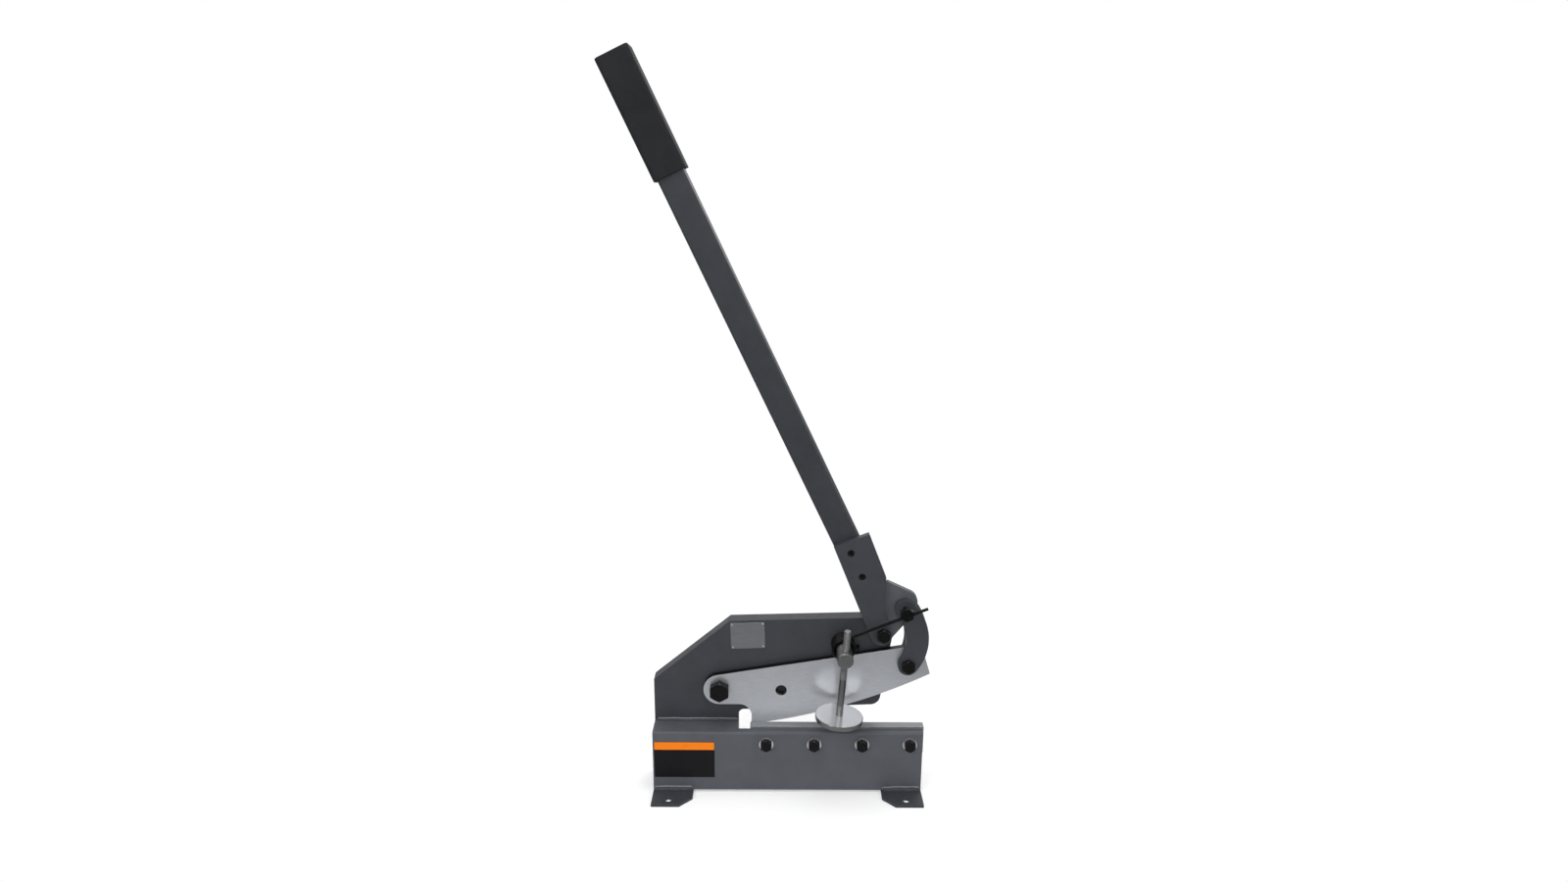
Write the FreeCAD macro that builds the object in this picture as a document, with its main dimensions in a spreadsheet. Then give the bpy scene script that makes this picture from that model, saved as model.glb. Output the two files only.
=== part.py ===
import FreeCAD, Part
import math
import os
import Sketcher

V = FreeCAD.Vector
doc = FreeCAD.newDocument("HandLeverShear")
sheet = doc.addObject("Spreadsheet::Sheet", "Sizes")

# Hand lever shear for plate, 12 inch class. Millimetres and degrees.
# Row frame: X to the right along the base, Y away from the user, Z up.
# The origin is on the bench, at the centre of the four base bolt holes.
# Heights are above the bench. Places along the base are from its left end.

# Driving sizes
SIZES = {
    # base angle: front plate with a short top flange at its left end
    "base_length": 470.0,
    "base_top": 116.8,
    "base_plate_thick": 14.0,
    "flange_length": 148.0,
    "flange_thick": 12.0,
    "base_corner_radius": 4.0,
    # feet
    "foot_width": 70.0,
    "foot_reach": 44.5,
    "foot_thick": 5.0,
    "foot_chamfer": 22.0,
    "foot_hole_inset": 29.0,
    "foot_hole_reach": 30.0,
    "foot_hole_radius": 6.0,
    # frame plate, a C standing on the left half of the base
    "frame_thick": 25.0,
    "frame_left_height": 196.0,
    "frame_shoulder_x": 134.3,
    "frame_over_pivot": 22.03,
    "frame_top_slope": 1.66,
    "frame_right_x": 417.3,
    "frame_nose_radius": 17.0,
    "frame_nose_x": 398.0,
    "frame_corner_radius": 22.0,
    "throat_left_height": 138.5,
    "throat_right_height": 148.6,
    "throat_radius": 10.0,
    # blades
    "lower_blade_thick": 16.0,
    "lower_blade_over": 3.0,
    "lower_blade_start": 169.5,
    "lower_blade_height": 50.0,
    "lower_blade_proud": 4.0,
    "upper_blade_thick": 11.6,
    "side_gap": 0.3,
    "blade_pivot_x": 115.5,
    "blade_pivot_height": 182.5,
    "blade_heel_radius": 28.0,
    "blade_top_slope": 9.52,
    "blade_top_end_x": 446.0,
    "blade_nose_x": 472.7,
    "blade_nose_height": 244.8,
    "blade_tip_x": 482.0,
    "blade_tip_height": 214.7,
    "blade_edge_bow": 990.0,
    "blade_heel_x": 171.5,
    "blade_heel_height": 116.5,
    "blade_relief_radius": 22.0,
    "blade_port_x": 223.1,
    "blade_port_height": 181.7,
    "blade_port_radius": 8.5,
    "blade_port_chamfer": 1.5,
    # fasteners
    "pivot_fit": 0.05,
    "blade_bolt_radius": 6.0,
    "blade_bolt_flats": 19.0,
    "blade_bolt_head": 7.5,
    "blade_bolt_height": 95.0,
    "blade_bolt_first_x": 197.7,
    "blade_bolt_last_inset": 22.4,
    "blade_bolt_grip": 12.0,
    "washer_radius": 12.5,
    "washer_thick": 2.2,
    "blade_pivot_radius": 10.0,
    "blade_pivot_flats": 32.0,
    "blade_pivot_head": 13.0,
    "lever_pivot_radius": 7.0,
    "lever_pivot_flats": 22.0,
    "lever_pivot_head": 8.0,
    "link_pin_radius": 6.0,
    "link_pin_flats": 22.0,
    "link_pin_head": 8.0,
    "link_pin_neck": 3.5,
    "nut_height": 11.0,
    "thread_tail": 2.5,
    "shank_bevel": 1.0,
    "head_bevel_share": 1.1,
    "head_bevel_rise": 0.6,
    "flats_margin": 2.0,
    "blind_margin": 1.0,
    # lever: bar in front of the ear plate, both on the lever pivot
    "lever_pivot_x": 397.5,
    "lever_pivot_rise": 34.82,
    "lever_lean": 21.7,
    "bar_thick": 12.0,
    "bar_left": 23.0,
    "bar_right": 40.0,
    "bar_height": 180.0,
    "bar_shoulder_height": 97.0,
    "bar_waist_right": 16.5,
    "bar_waist_height": 38.0,
    "bar_round_radius": 18.5,
    "bar_round_offset": 3.5,
    "ear_pin_right": 50.5,
    "ear_pin_height": 29.4,
    "ear_round_radius": 19.0,
    "ear_corner_right": 55.0,
    "ear_corner_height": 37.6,
    "ear_corner_radius": 20.5,
    "ear_lip_radius": 20.0,
    "ear_shoulder_height": 83.5,
    "ear_back_height": 62.0,
    "ear_slack_air": 0.4,
    "ear_slack_left": 10.4,
    "ear_slack_drop": 5.2,
    "ear_slack_swell": 1.5,
    "ear_slack_rise": 6.4,
    # handle
    "handle_lean": 25.5,
    "tube_side": 44.45,
    "tube_wall": 3.2,
    "tube_corner_radius": 4.0,
    "tube_bore_radius": 1.5,
    "tube_start": 92.0,
    "tube_top": 998.0,
    "handle_shift": -1.5,
    "grip_length": 196.0,
    "grip_cover": 163.5,
    "grip_wall": 5.5,
    "grip_corner_radius": 7.0,
    "grip_bore_radius": 3.0,
    "grip_top_round": 2.0,
    "handle_screw_radius": 6.0,
    "handle_screw_low": 113.0,
    "handle_screw_high": 159.5,
    "handle_screw_recess": 3.5,
    # links
    "link_thick": 10.0,
    "link_top_radius": 17.5,
    "link_foot_radius": 17.5,
    "link_outer_radius": 95.0,
    "link_inner_radius": 75.0,
    "link_pin_x": 442.0,
    "link_pin_drop": 31.145,
    # return spring on the hold-down shaft
    "spring_wire": 5.2,
    "spring_mean_radius": 18.0,
    "spring_air": 0.3,
    "spring_leg_air": 0.6,
    "spring_leg_length": 159.0,
    "spring_leg_angle": 22.35,
    "anchor_right": 26.5,
    "anchor_drop": 9.0,
    "anchor_radius": 3.5,
    "anchor_length": 16.0,
    # hold-down
    "shaft_x": 329.6,
    "shaft_air": 9.5,
    "shaft_radius": 13.7,
    "shaft_reach": 77.0,
    "shaft_tail_radius": 8.0,
    "shaft_nut_flats": 24.0,
    "rod_radius": 6.0,
    "rod_inset": 11.0,
    "rod_lean": 4.2,
    "rod_rise": 50.5,
    "pad_radius": 40.8,
    "pad_thick": 8.5,
    "pad_edge_bevel": 1.0,
    "pad_lift": 48.48,
}

for number, (name, value) in enumerate(SIZES.items(), start=1):
    sheet.set("A%d" % number, name)
    sheet.set("B%d" % number, repr(value))
    sheet.setAlias("B%d" % number, name)
doc.recompute()


class Size:
    """A number worked out from the sheet, with the expression that binds it."""

    def __init__(self, value, text):
        self.value = value
        self.text = text

    def __add__(self, other):
        other = size(other)
        return Size(self.value + other.value, "(%s + %s)" % (self.text, other.text))

    def __sub__(self, other):
        other = size(other)
        return Size(self.value - other.value, "(%s - %s)" % (self.text, other.text))

    def __mul__(self, other):
        other = size(other)
        return Size(self.value * other.value, "(%s * %s)" % (self.text, other.text))

    def __truediv__(self, other):
        other = size(other)
        return Size(self.value / other.value, "(%s / %s)" % (self.text, other.text))

    def __neg__(self):
        return Size(-self.value, "(0 - %s)" % self.text)

    def __radd__(self, other):
        return size(other) + self

    def __rsub__(self, other):
        return size(other) - self

    def __rmul__(self, other):
        return size(other) * self


def size(number):
    """A plain number as a Size."""
    if isinstance(number, Size):
        return number
    return Size(float(number), "%.9g" % number)


def cell(name):
    """The sheet's cell of this name as a Size."""
    return Size(float(sheet.get(name)), "Sizes.%s" % name)


def sin_of(angle):
    return Size(math.sin(math.radians(angle.value)), "sin(%s)" % angle.text)


def cos_of(angle):
    return Size(math.cos(math.radians(angle.value)), "cos(%s)" % angle.text)


def tan_of(angle):
    return Size(math.tan(math.radians(angle.value)), "tan(%s)" % angle.text)


def bind(thing, path, amount):
    """Tie a property to the sheet."""
    thing.setExpression(path, size(amount).text)


# Bodies and their places
TO_THE_FRONT = FreeCAD.Rotation(V(1, 0, 0), 90)
NO_TURN = FreeCAD.Rotation()


def new_body(name):
    body = doc.addObject("PartDesign::Body", name)
    body.Label = name
    return body


def put(body, x=0, y=0, z=0, turn=NO_TURN):
    """Place a body, with each coordinate tied to the sheet."""
    body.Placement = FreeCAD.Placement(V(size(x).value, size(y).value, size(z).value), turn)
    bind(body, ".Placement.Base.x", x)
    bind(body, ".Placement.Base.y", y)
    bind(body, ".Placement.Base.z", z)


def lean(body, axis, angle):
    """Turn a placed body about an axis through its own origin."""
    turn = FreeCAD.Rotation(axis, angle.value)
    body.Placement = FreeCAD.Placement(body.Placement.Base, turn)
    bind(body, ".Placement.Rotation.Angle", angle)


def lean_left(body, angle):
    lean(body, V(0, -1, 0), angle)


def lean_right(body, angle):
    lean(body, V(0, 1, 0), angle)


def new_sketch(body, name, plane, offset=0):
    """Sketch on one of the body's own origin planes, moved along its normal."""
    sketch = body.newObject("Sketcher::SketchObject", body.Name + "_" + name)
    origin_plane = [item for item in body.Origin.OriginFeatures if item.Role == plane][0]
    sketch.AttachmentSupport = [(origin_plane, "")]
    sketch.MapMode = "FlatFace"
    bind(sketch, ".AttachmentOffset.Base.z", offset)
    return sketch


def front_sketch(body, name, y):
    """Sketch in the plane Y = y, drawn in X and Z."""
    return new_sketch(body, name, "XZ_Plane", -size(y))


# Sketch geometry
def fix_point(sketch, geometry, point, x, y):
    """Hold one point by its two sizes."""
    for kind, amount in (("DistanceX", size(x)), ("DistanceY", size(y))):
        index = sketch.addConstraint(
            Sketcher.Constraint(kind, -1, 1, geometry, point, amount.value))
        bind(sketch, "Constraints[%d]" % index, amount)


def fix_radius(sketch, geometry, radius):
    index = sketch.addConstraint(Sketcher.Constraint("Radius", geometry, size(radius).value))
    bind(sketch, "Constraints[%d]" % index, radius)


def add_arc(sketch, centre, radius, start, end, clockwise):
    """Arc from start to end; returns its number and its start and end points."""
    if clockwise:
        start, end = end, start
    first = math.atan2(start.y - centre.y, start.x - centre.x)
    last = math.atan2(end.y - centre.y, end.x - centre.x)
    if last <= first:
        last += 2 * math.pi
    circle = Part.Circle(V(centre.x, centre.y, 0), V(0, 0, 1), radius)
    index = sketch.addGeometry(Part.ArcOfCircle(circle, first, last), False)
    return (index, 2, 1) if clockwise else (index, 1, 2)


def circle(sketch, x, y, radius):
    """Full circle held by its centre and radius."""
    x, y, radius = size(x), size(y), size(radius)
    index = sketch.addGeometry(
        Part.Circle(V(x.value, y.value, 0), V(0, 0, 1), radius.value), False)
    fix_point(sketch, index, 3, x, y)
    fix_radius(sketch, index, radius)


def tangent_points(a, b):
    """Ends of the straight run that leaves round a and meets round b."""
    centre_a, centre_b = V(a[0], a[1], 0), V(b[0], b[1], 0)
    gap = centre_b - centre_a
    turn = math.atan2(gap.y, gap.x) + math.acos((b[2] - a[2]) / gap.Length)
    normal = V(math.cos(turn), math.sin(turn), 0)
    return centre_a - normal * a[2], centre_b - normal * b[2]


def outline(sketch, stops):
    """Closed outline, anticlockwise, round its stops.

    A stop is (x, y) for a sharp corner, or (x, y, radius) for a round that the
    outline turns about, tangent to both its neighbours; a radius with its
    inside flag, (x, y, radius, True), turns the other way. A corner may end in
    {"bow": radius}, which makes the run to the next corner an outward arc.
    """
    rounds = []
    for stop in stops:
        numbers = [item for item in stop if not isinstance(item, (dict, bool))]
        radius = size(numbers[2]).value if len(numbers) > 2 else 0.0
        inside = any(item is True for item in stop)
        rounds.append((size(numbers[0]).value, size(numbers[1]).value,
                       -radius if inside else radius))
    count = len(stops)
    runs = [tangent_points(rounds[i], rounds[(i + 1) % count]) for i in range(count)]
    chain = []
    for i, stop in enumerate(stops):
        x, y, radius = rounds[i]
        if radius:
            arrive = runs[i - 1][1]
            leave = runs[i][0]
            arc = add_arc(sketch, V(x, y, 0), abs(radius), arrive, leave, radius < 0)
            fix_point(sketch, arc[0], 3, stop[0], stop[1])
            fix_radius(sketch, arc[0], stop[2])
            chain.append(("arc", arc))
        start, end = runs[i]
        bow = [item for item in stop if isinstance(item, dict)]
        if bow:
            reach = size(bow[0]["bow"])
            middle = (start + end) / 2
            half = (end - start) / 2
            rise = math.sqrt(reach.value ** 2 - half.Length ** 2)
            inward = V(-half.y, half.x, 0).normalize()
            arc = add_arc(sketch, middle + inward * rise, reach.value, start, end, False)
            fix_radius(sketch, arc[0], reach)
            chain.append(("bow", arc))
        else:
            line = sketch.addGeometry(Part.LineSegment(start, end), False)
            chain.append(("line", (line, 1, 2)))
    for i, (kind, (index, first, last)) in enumerate(chain):
        next_kind, (after, after_first, after_last) = chain[(i + 1) % len(chain)]
        joint = "Tangent" if "arc" in (kind, next_kind) else "Coincident"
        sketch.addConstraint(Sketcher.Constraint(joint, index, last, after, after_first))
    corner = [i for i, item in enumerate(rounds) if item[2] == 0]
    starts = [item for item in chain if item[0] != "arc"]
    for i in corner:
        index, first, last = starts[i][1]
        fix_point(sketch, index, first, stops[i][0], stops[i][1])


def rectangle(sketch, left, low, right, high):
    outline(sketch, [(left, low), (right, low), (right, high), (left, high)])


# Features
def pad(body, sketch, length, towards_user=False):
    """Thicken a sketch; one in an XZ plane grows away from the user."""
    feature = body.newObject("PartDesign::Pad", sketch.Name + "_pad")
    feature.Profile = sketch
    feature.Reversed = not towards_user
    bind(feature, "Length", length)
    doc.recompute()
    return feature


def pocket(body, sketch, length, upwards=False):
    """Cut a sketch into the body and check that it removed something."""
    before = body.Shape.Volume
    feature = body.newObject("PartDesign::Pocket", sketch.Name + "_cut")
    feature.Profile = sketch
    feature.Reversed = upwards
    bind(feature, "Length", length)
    doc.recompute()
    if body.Shape.Volume >= before:
        raise RuntimeError("nothing cut by " + sketch.Name)
    return feature


def revolve(body, sketch):
    """Turn a sketch about its own upright axis."""
    feature = body.newObject("PartDesign::Revolution", sketch.Name + "_turned")
    feature.Profile = sketch
    feature.ReferenceAxis = (sketch, ["V_Axis"])
    feature.Angle = 360
    doc.recompute()
    return feature


def edges_where(shape, test):
    """Names of the edges whose middle and direction pass the test."""
    names = []
    for number, edge in enumerate(shape.Edges, start=1):
        if edge.Length > 0.05 and test(edge):
            names.append("Edge%d" % number)
    return names


def dress(body, kind, names, amount):
    """Fillet or Chamfer on named edges of the body's tip."""
    if not names:
        raise RuntimeError("no edges for %s on %s" % (kind, body.Name))
    base = body.Tip
    feature = body.newObject("PartDesign::" + kind, "%s_%s_%d" % (body.Name, kind, len(body.Group)))
    feature.Base = (base, names)
    bind(feature, "Radius" if kind == "Fillet" else "Size", amount)
    doc.recompute()
    return feature


def straight_along(axis):
    """Test for straight edges that run along an axis."""
    def test(edge):
        if edge.Curve.TypeId != "Part::GeomLine":
            return False
        return abs(edge.Curve.Direction.dot(axis)) > 0.999
    return test


BLADE_BOLT_COUNT = 4

# Shared places, in the row frame
half_length = cell("base_length") / 2
flange_depth = (cell("base_plate_thick") + cell("lower_blade_thick")
                + cell("upper_blade_thick") + cell("side_gap") * 2)
depth = flange_depth + cell("frame_thick")
base_front = -depth / 2
base_back = base_front + cell("base_plate_thick")
frame_front = base_front + flange_depth
frame_back = frame_front + cell("frame_thick")
moving_back = frame_front - cell("side_gap")
moving_front = moving_back - cell("upper_blade_thick")
bar_front = moving_front - cell("bar_thick")
link_back = moving_front - cell("side_gap")
link_front = link_back - cell("link_thick")
rear_link_front = moving_back + cell("side_gap")
rear_link_back = rear_link_front + cell("link_thick")
leg_room = cell("side_gap") + cell("lever_pivot_head") + cell("spring_leg_air")
leg_back = bar_front - leg_room
leg_front = leg_back - cell("spring_wire")


def along(name):
    """Place along the base, from its left end, as a row X."""
    return cell(name) - half_length


blade_pivot = (along("blade_pivot_x"), cell("blade_pivot_height"))


def blade_top_at(x):
    """Height of the upper blade's top edge at a row X."""
    slope = cell("blade_top_slope")
    over_pivot = cell("blade_heel_radius") / cos_of(slope)
    return blade_pivot[1] + over_pivot + (x - blade_pivot[0]) * tan_of(slope)


def over_blade(name, rise):
    """Point over the blade's top edge, at a named place along the base."""
    x = along(name)
    return (x, blade_top_at(x) + rise)


lever_pivot = over_blade("lever_pivot_x", cell("lever_pivot_rise"))
link_foot = over_blade("link_pin_x", -cell("link_pin_drop"))
shaft = over_blade("shaft_x", cell("shaft_radius") + cell("shaft_air"))
rod_drop = (shaft[1] - cell("base_top") - cell("pad_lift")) / cos_of(cell("rod_lean"))
lever_lean = cell("lever_lean")


def beside_lever_pivot(right, up):
    """Place of a point of the leaning lever, from its own right and up."""
    return (lever_pivot[0] + right * cos_of(lever_lean) - up * sin_of(lever_lean),
            lever_pivot[1] + right * sin_of(lever_lean) + up * cos_of(lever_lean))


link_head = beside_lever_pivot(cell("ear_pin_right"), cell("ear_pin_height"))
blade_top = cell("base_top") + cell("lower_blade_proud")


# Base angle
def make_base_angle():
    body = new_body("base_angle")
    face = front_sketch(body, "face", base_front)
    rectangle(face, -half_length, cell("foot_thick"), half_length, cell("base_top"))
    pad(body, face, cell("base_plate_thick"))
    flange = front_sketch(body, "flange", base_back)
    flange_low = cell("base_top") - cell("flange_thick")
    rectangle(flange, -half_length, flange_low, cell("flange_length") - half_length, cell("base_top"))
    pad(body, flange, flange_depth - cell("base_plate_thick"))
    holes = front_sketch(body, "holes", base_front)
    for number in range(BLADE_BOLT_COUNT):
        circle(holes, blade_bolt_x(number), cell("blade_bolt_height"),
               cell("blade_bolt_radius") + cell("side_gap"))
    pocket(body, holes, cell("base_plate_thick"))
    top_front = edges_where(body.Shape, lambda edge: straight_along(V(1, 0, 0))(edge)
                            and abs(edge.CenterOfMass.y - base_front.value) < 0.01
                            and abs(edge.CenterOfMass.z - cell("base_top").value) < 0.01)
    dress(body, "Fillet", top_front, cell("base_corner_radius"))


def blade_bolt_x(number):
    """Bolts share the base evenly between the first one and the last one's inset."""
    first = along("blade_bolt_first_x")
    last = half_length - cell("blade_bolt_last_inset")
    return first + (last - first) / (BLADE_BOLT_COUNT - 1) * number


# Feet
def make_foot(name, side):
    """Foot plate under one end; side is -1 for the left end, 1 for the right."""
    body = new_body(name)
    plan = new_sketch(body, "plan", "XY_Plane")
    outer = half_length * side
    inner = (half_length - cell("foot_width")) * side
    step = cell("foot_chamfer") * side
    front = base_front - cell("foot_reach")
    back = frame_back + cell("foot_reach")
    corners = [(outer, front), (outer, back), (inner + step, back),
               (inner, back - cell("foot_chamfer")), (inner, front + cell("foot_chamfer")),
               (inner + step, front)]
    if side < 0:
        corners.reverse()
    outline(plan, corners)
    pad(body, plan, cell("foot_thick"), towards_user=True)
    holes = new_sketch(body, "holes", "XY_Plane")
    hole_x = (half_length - cell("foot_hole_inset")) * side
    circle(holes, hole_x, base_front - cell("foot_hole_reach"), cell("foot_hole_radius"))
    circle(holes, hole_x, frame_back + cell("foot_hole_reach"), cell("foot_hole_radius"))
    pocket(body, holes, cell("foot_thick"), upwards=True)


# Frame plate
def make_frame_plate():
    body = new_body("frame_plate")
    face = front_sketch(body, "face", frame_front)
    left = -half_length
    slope = tan_of(cell("frame_top_slope"))
    shoulder_x = along("frame_shoulder_x")
    right = along("frame_right_x")
    nose_x = along("frame_nose_x")
    leg = cell("flange_length") - half_length
    corner = cell("frame_corner_radius")
    nose = cell("frame_nose_radius")
    top_at_pivot = lever_pivot[1] + cell("frame_over_pivot")
    top_at_corner = top_at_pivot + (right - corner - lever_pivot[0]) * slope
    outline(face, [
        (left, cell("foot_thick")),
        (leg, cell("foot_thick")),
        (leg + cell("throat_radius"), cell("throat_left_height") - cell("throat_radius"),
         cell("throat_radius"), True),
        (nose_x - nose, cell("throat_right_height") + nose, nose),
        (right - corner, top_at_corner - corner, corner),
        (shoulder_x, top_at_pivot - (lever_pivot[0] - shoulder_x) * slope),
        (left, cell("frame_left_height")),
    ])
    pad(body, face, cell("frame_thick"))
    holes = front_sketch(body, "holes", frame_front)
    circle(holes, blade_pivot[0], blade_pivot[1], cell("blade_pivot_radius") + cell("pivot_fit"))
    circle(holes, lever_pivot[0], lever_pivot[1], cell("lever_pivot_radius") + cell("pivot_fit"))
    circle(holes, shaft[0], shaft[1], cell("shaft_tail_radius") + cell("pivot_fit"))
    pocket(body, holes, cell("frame_thick"))


# Blades
def make_lower_blade():
    body = new_body("lower_blade")
    face = front_sketch(body, "face", base_back)
    start = along("lower_blade_start")
    rectangle(face, start, blade_top - cell("lower_blade_height"),
              half_length + cell("lower_blade_over"), blade_top)
    pad(body, face, cell("lower_blade_thick"))
    holes = front_sketch(body, "holes", base_back)
    for number in range(BLADE_BOLT_COUNT):
        circle(holes, blade_bolt_x(number), cell("blade_bolt_height"),
               cell("blade_bolt_radius") + cell("pivot_fit"))
    pocket(body, holes, cell("blade_bolt_grip") + cell("blind_margin"))


def make_upper_blade():
    body = new_body("upper_blade")
    face = front_sketch(body, "face", moving_front)
    radius = cell("blade_heel_radius")
    relief = cell("blade_relief_radius")
    round_x, round_z = blade_pivot
    top_x = along("blade_top_end_x")
    top_z = blade_top_at(top_x)
    heel_x = along("blade_heel_x")
    outline(face, [
        (round_x, round_z, radius),
        (heel_x - relief, round_z - radius - relief, relief, True),
        (heel_x, cell("blade_heel_height"), {"bow": cell("blade_edge_bow")}),
        (along("blade_tip_x"), cell("blade_tip_height")),
        (along("blade_nose_x"), cell("blade_nose_height")),
        (top_x, top_z),
    ])
    pad(body, face, cell("upper_blade_thick"))
    holes = front_sketch(body, "holes", moving_front)
    circle(holes, round_x, round_z, cell("blade_pivot_radius") + cell("pivot_fit"))
    circle(holes, link_foot[0], link_foot[1], cell("link_pin_radius") + cell("pivot_fit"))
    circle(holes, along("blade_port_x"), cell("blade_port_height"), cell("blade_port_radius"))
    pocket(body, holes, cell("upper_blade_thick"))
    port = V(along("blade_port_x").value, moving_front.value, cell("blade_port_height").value)
    rim = edges_where(body.Shape, lambda edge: edge.Curve.TypeId == "Part::GeomCircle"
                      and (edge.Curve.Center - port).Length < 0.1)
    dress(body, "Chamfer", rim, cell("blade_port_chamfer"))


# Fasteners, drawn upright with the seat at zero and the head above it
HALF_FLAT = size(30)


def make_bolt(name, x, z, seat_y, radius, flats, head, shank, neck=None):
    """Hex bolt whose head faces the user, seated at seat_y; its neck is a slimmer (radius, length)."""
    body = new_body(name)
    across = flats / cos_of(HALF_FLAT) / 2
    bevel = (across - flats / 2) * cell("head_bevel_share")
    profile = new_sketch(body, "profile", "XZ_Plane")
    rise = bevel * cell("head_bevel_rise")
    tip = cell("shank_bevel")
    under_head = [(radius, -neck[1]), (neck[0], -neck[1]), (neck[0], 0)] if neck else [(radius, 0)]
    outline(profile, [(0, -shank), (radius - tip, -shank), (radius, tip - shank)] + under_head
            + [(across, 0), (across, head - rise), (across - bevel, head), (0, head)])
    revolve(body, profile)
    trim_to_hex(body, flats, across, head)
    put(body, x, seat_y, z, TO_THE_FRONT)


def make_nut(name, x, z, seat_y, radius, flats, height):
    """Hex nut behind a plate, its seat facing the user."""
    body = new_body(name)
    across = flats / cos_of(HALF_FLAT) / 2
    bevel = (across - flats / 2) * cell("head_bevel_share")
    profile = new_sketch(body, "profile", "XZ_Plane")
    rise = bevel * cell("head_bevel_rise")
    outline(profile, [(radius, -height), (across - bevel, -height),
                      (across, rise - height), (across, 0), (radius, 0)])
    revolve(body, profile)
    trim_to_hex(body, flats, across, height, below=True)
    put(body, x, seat_y, z, TO_THE_FRONT)


def trim_to_hex(body, flats, across, height, below=False):
    """Cut the six flats of a head or nut."""
    ring = new_sketch(body, "flats", "XY_Plane")
    circle(ring, 0, 0, across + cell("flats_margin"))
    corners = []
    for number in range(6):
        angle = HALF_FLAT * (2 * number + 1)
        corners.append((across * cos_of(angle), across * sin_of(angle)))
    outline(ring, corners)
    pocket(body, ring, height, upwards=not below)


def make_washer(name, x, z, back_y, inner, outer, thick):
    """Flat washer whose back lies on the plane back_y."""
    body = new_body(name)
    ring = new_sketch(body, "ring", "XY_Plane")
    circle(ring, 0, 0, outer)
    circle(ring, 0, 0, inner)
    pad(body, ring, thick, towards_user=True)
    put(body, x, back_y, z, TO_THE_FRONT)


def make_blade_bolts():
    for number in range(BLADE_BOLT_COUNT):
        x = blade_bolt_x(number)
        z = cell("blade_bolt_height")
        make_washer("lower_blade_washer_%d" % (number + 1), x, z, base_front,
                    cell("blade_bolt_radius") + cell("side_gap"), cell("washer_radius"),
                    cell("washer_thick"))
        make_bolt("lower_blade_bolt_%d" % (number + 1), x, z, base_front - cell("washer_thick"),
                  cell("blade_bolt_radius"), cell("blade_bolt_flats"), cell("blade_bolt_head"),
                  cell("washer_thick") + cell("base_plate_thick") + cell("blade_bolt_grip"))


def make_pivots():
    to_back = frame_back - moving_front
    make_bolt("blade_pivot_bolt", blade_pivot[0], blade_pivot[1], moving_front - cell("side_gap"),
              cell("blade_pivot_radius"), cell("blade_pivot_flats"), cell("blade_pivot_head"),
              to_back + cell("side_gap") + cell("nut_height") + cell("thread_tail"))
    make_nut("blade_pivot_nut", blade_pivot[0], blade_pivot[1], frame_back,
             cell("blade_pivot_radius"), cell("blade_pivot_flats"), cell("nut_height"))
    make_bolt("lever_pivot_bolt", lever_pivot[0], lever_pivot[1], bar_front - cell("side_gap"),
              cell("lever_pivot_radius"), cell("lever_pivot_flats"), cell("lever_pivot_head"),
              frame_back - bar_front + cell("side_gap") + cell("nut_height") + cell("thread_tail"))
    make_nut("lever_pivot_nut", lever_pivot[0], lever_pivot[1], frame_back,
             cell("lever_pivot_radius"), cell("lever_pivot_flats"), cell("nut_height"))


# Lever, drawn upright about the lever pivot and then leaned back
def place_on_lever(body):
    put(body, lever_pivot[0], 0, lever_pivot[1])
    lean_left(body, lever_lean)


def make_lever_bar():
    body = new_body("lever_bar")
    face = front_sketch(body, "face", bar_front)
    left, right = -cell("bar_left"), cell("bar_right")
    outline(face, [
        (-cell("bar_round_offset"), 0, cell("bar_round_radius")),
        (cell("bar_waist_right"), cell("bar_waist_height")),
        (right, cell("bar_shoulder_height")),
        (right, cell("bar_height")),
        (left, cell("bar_height")),
    ])
    pad(body, face, cell("bar_thick"))
    holes = front_sketch(body, "holes", bar_front)
    circle(holes, 0, 0, cell("lever_pivot_radius") + cell("pivot_fit"))
    for height in ("handle_screw_low", "handle_screw_high"):
        circle(holes, screw_x(height), cell(height), cell("handle_screw_radius") + cell("pivot_fit"))
    pocket(body, holes, cell("bar_thick"))
    place_on_lever(body)


def screw_x(height):
    """Screws lie on the handle's centre line, in the lever's own frame."""
    swing = tan_of(cell("handle_lean") - lever_lean)
    return cell("handle_shift") - (cell(height) - cell("bar_height")) * swing


def make_lever_ear():
    body = new_body("lever_ear")
    face = front_sketch(body, "face", moving_front)
    low = cell("ear_round_radius")
    outline(face, [
        (0, 0, low),
        (cell("ear_pin_right"), cell("ear_pin_height"), cell("ear_lip_radius")),
        (cell("ear_corner_right"), cell("ear_corner_height"), cell("ear_corner_radius")),
        (cell("bar_right"), cell("ear_shoulder_height")),
        (-low, cell("ear_back_height")),
    ])
    pad(body, face, cell("upper_blade_thick"))
    holes = front_sketch(body, "holes", moving_front)
    circle(holes, 0, 0, cell("lever_pivot_radius") + cell("pivot_fit"))
    slack = cell("link_pin_radius") + cell("ear_slack_air")
    pin_x, pin_z = cell("ear_pin_right"), cell("ear_pin_height")
    outline(holes, [
        (pin_x - cell("ear_slack_left"), pin_z - cell("ear_slack_drop"), slack + cell("ear_slack_swell")),
        (pin_x, pin_z, slack),
        (pin_x, pin_z + cell("ear_slack_rise"), slack),
    ])
    pocket(body, holes, cell("upper_blade_thick"))
    place_on_lever(body)


# Handle, drawn upright on its own axis
def place_on_handle(body):
    """The handle's axis meets the top of the bar, shifted off its middle."""
    x, z = beside_lever_pivot(cell("handle_shift"), cell("bar_height"))
    put(body, x, 0, z)
    lean_left(body, cell("handle_lean"))


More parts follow.
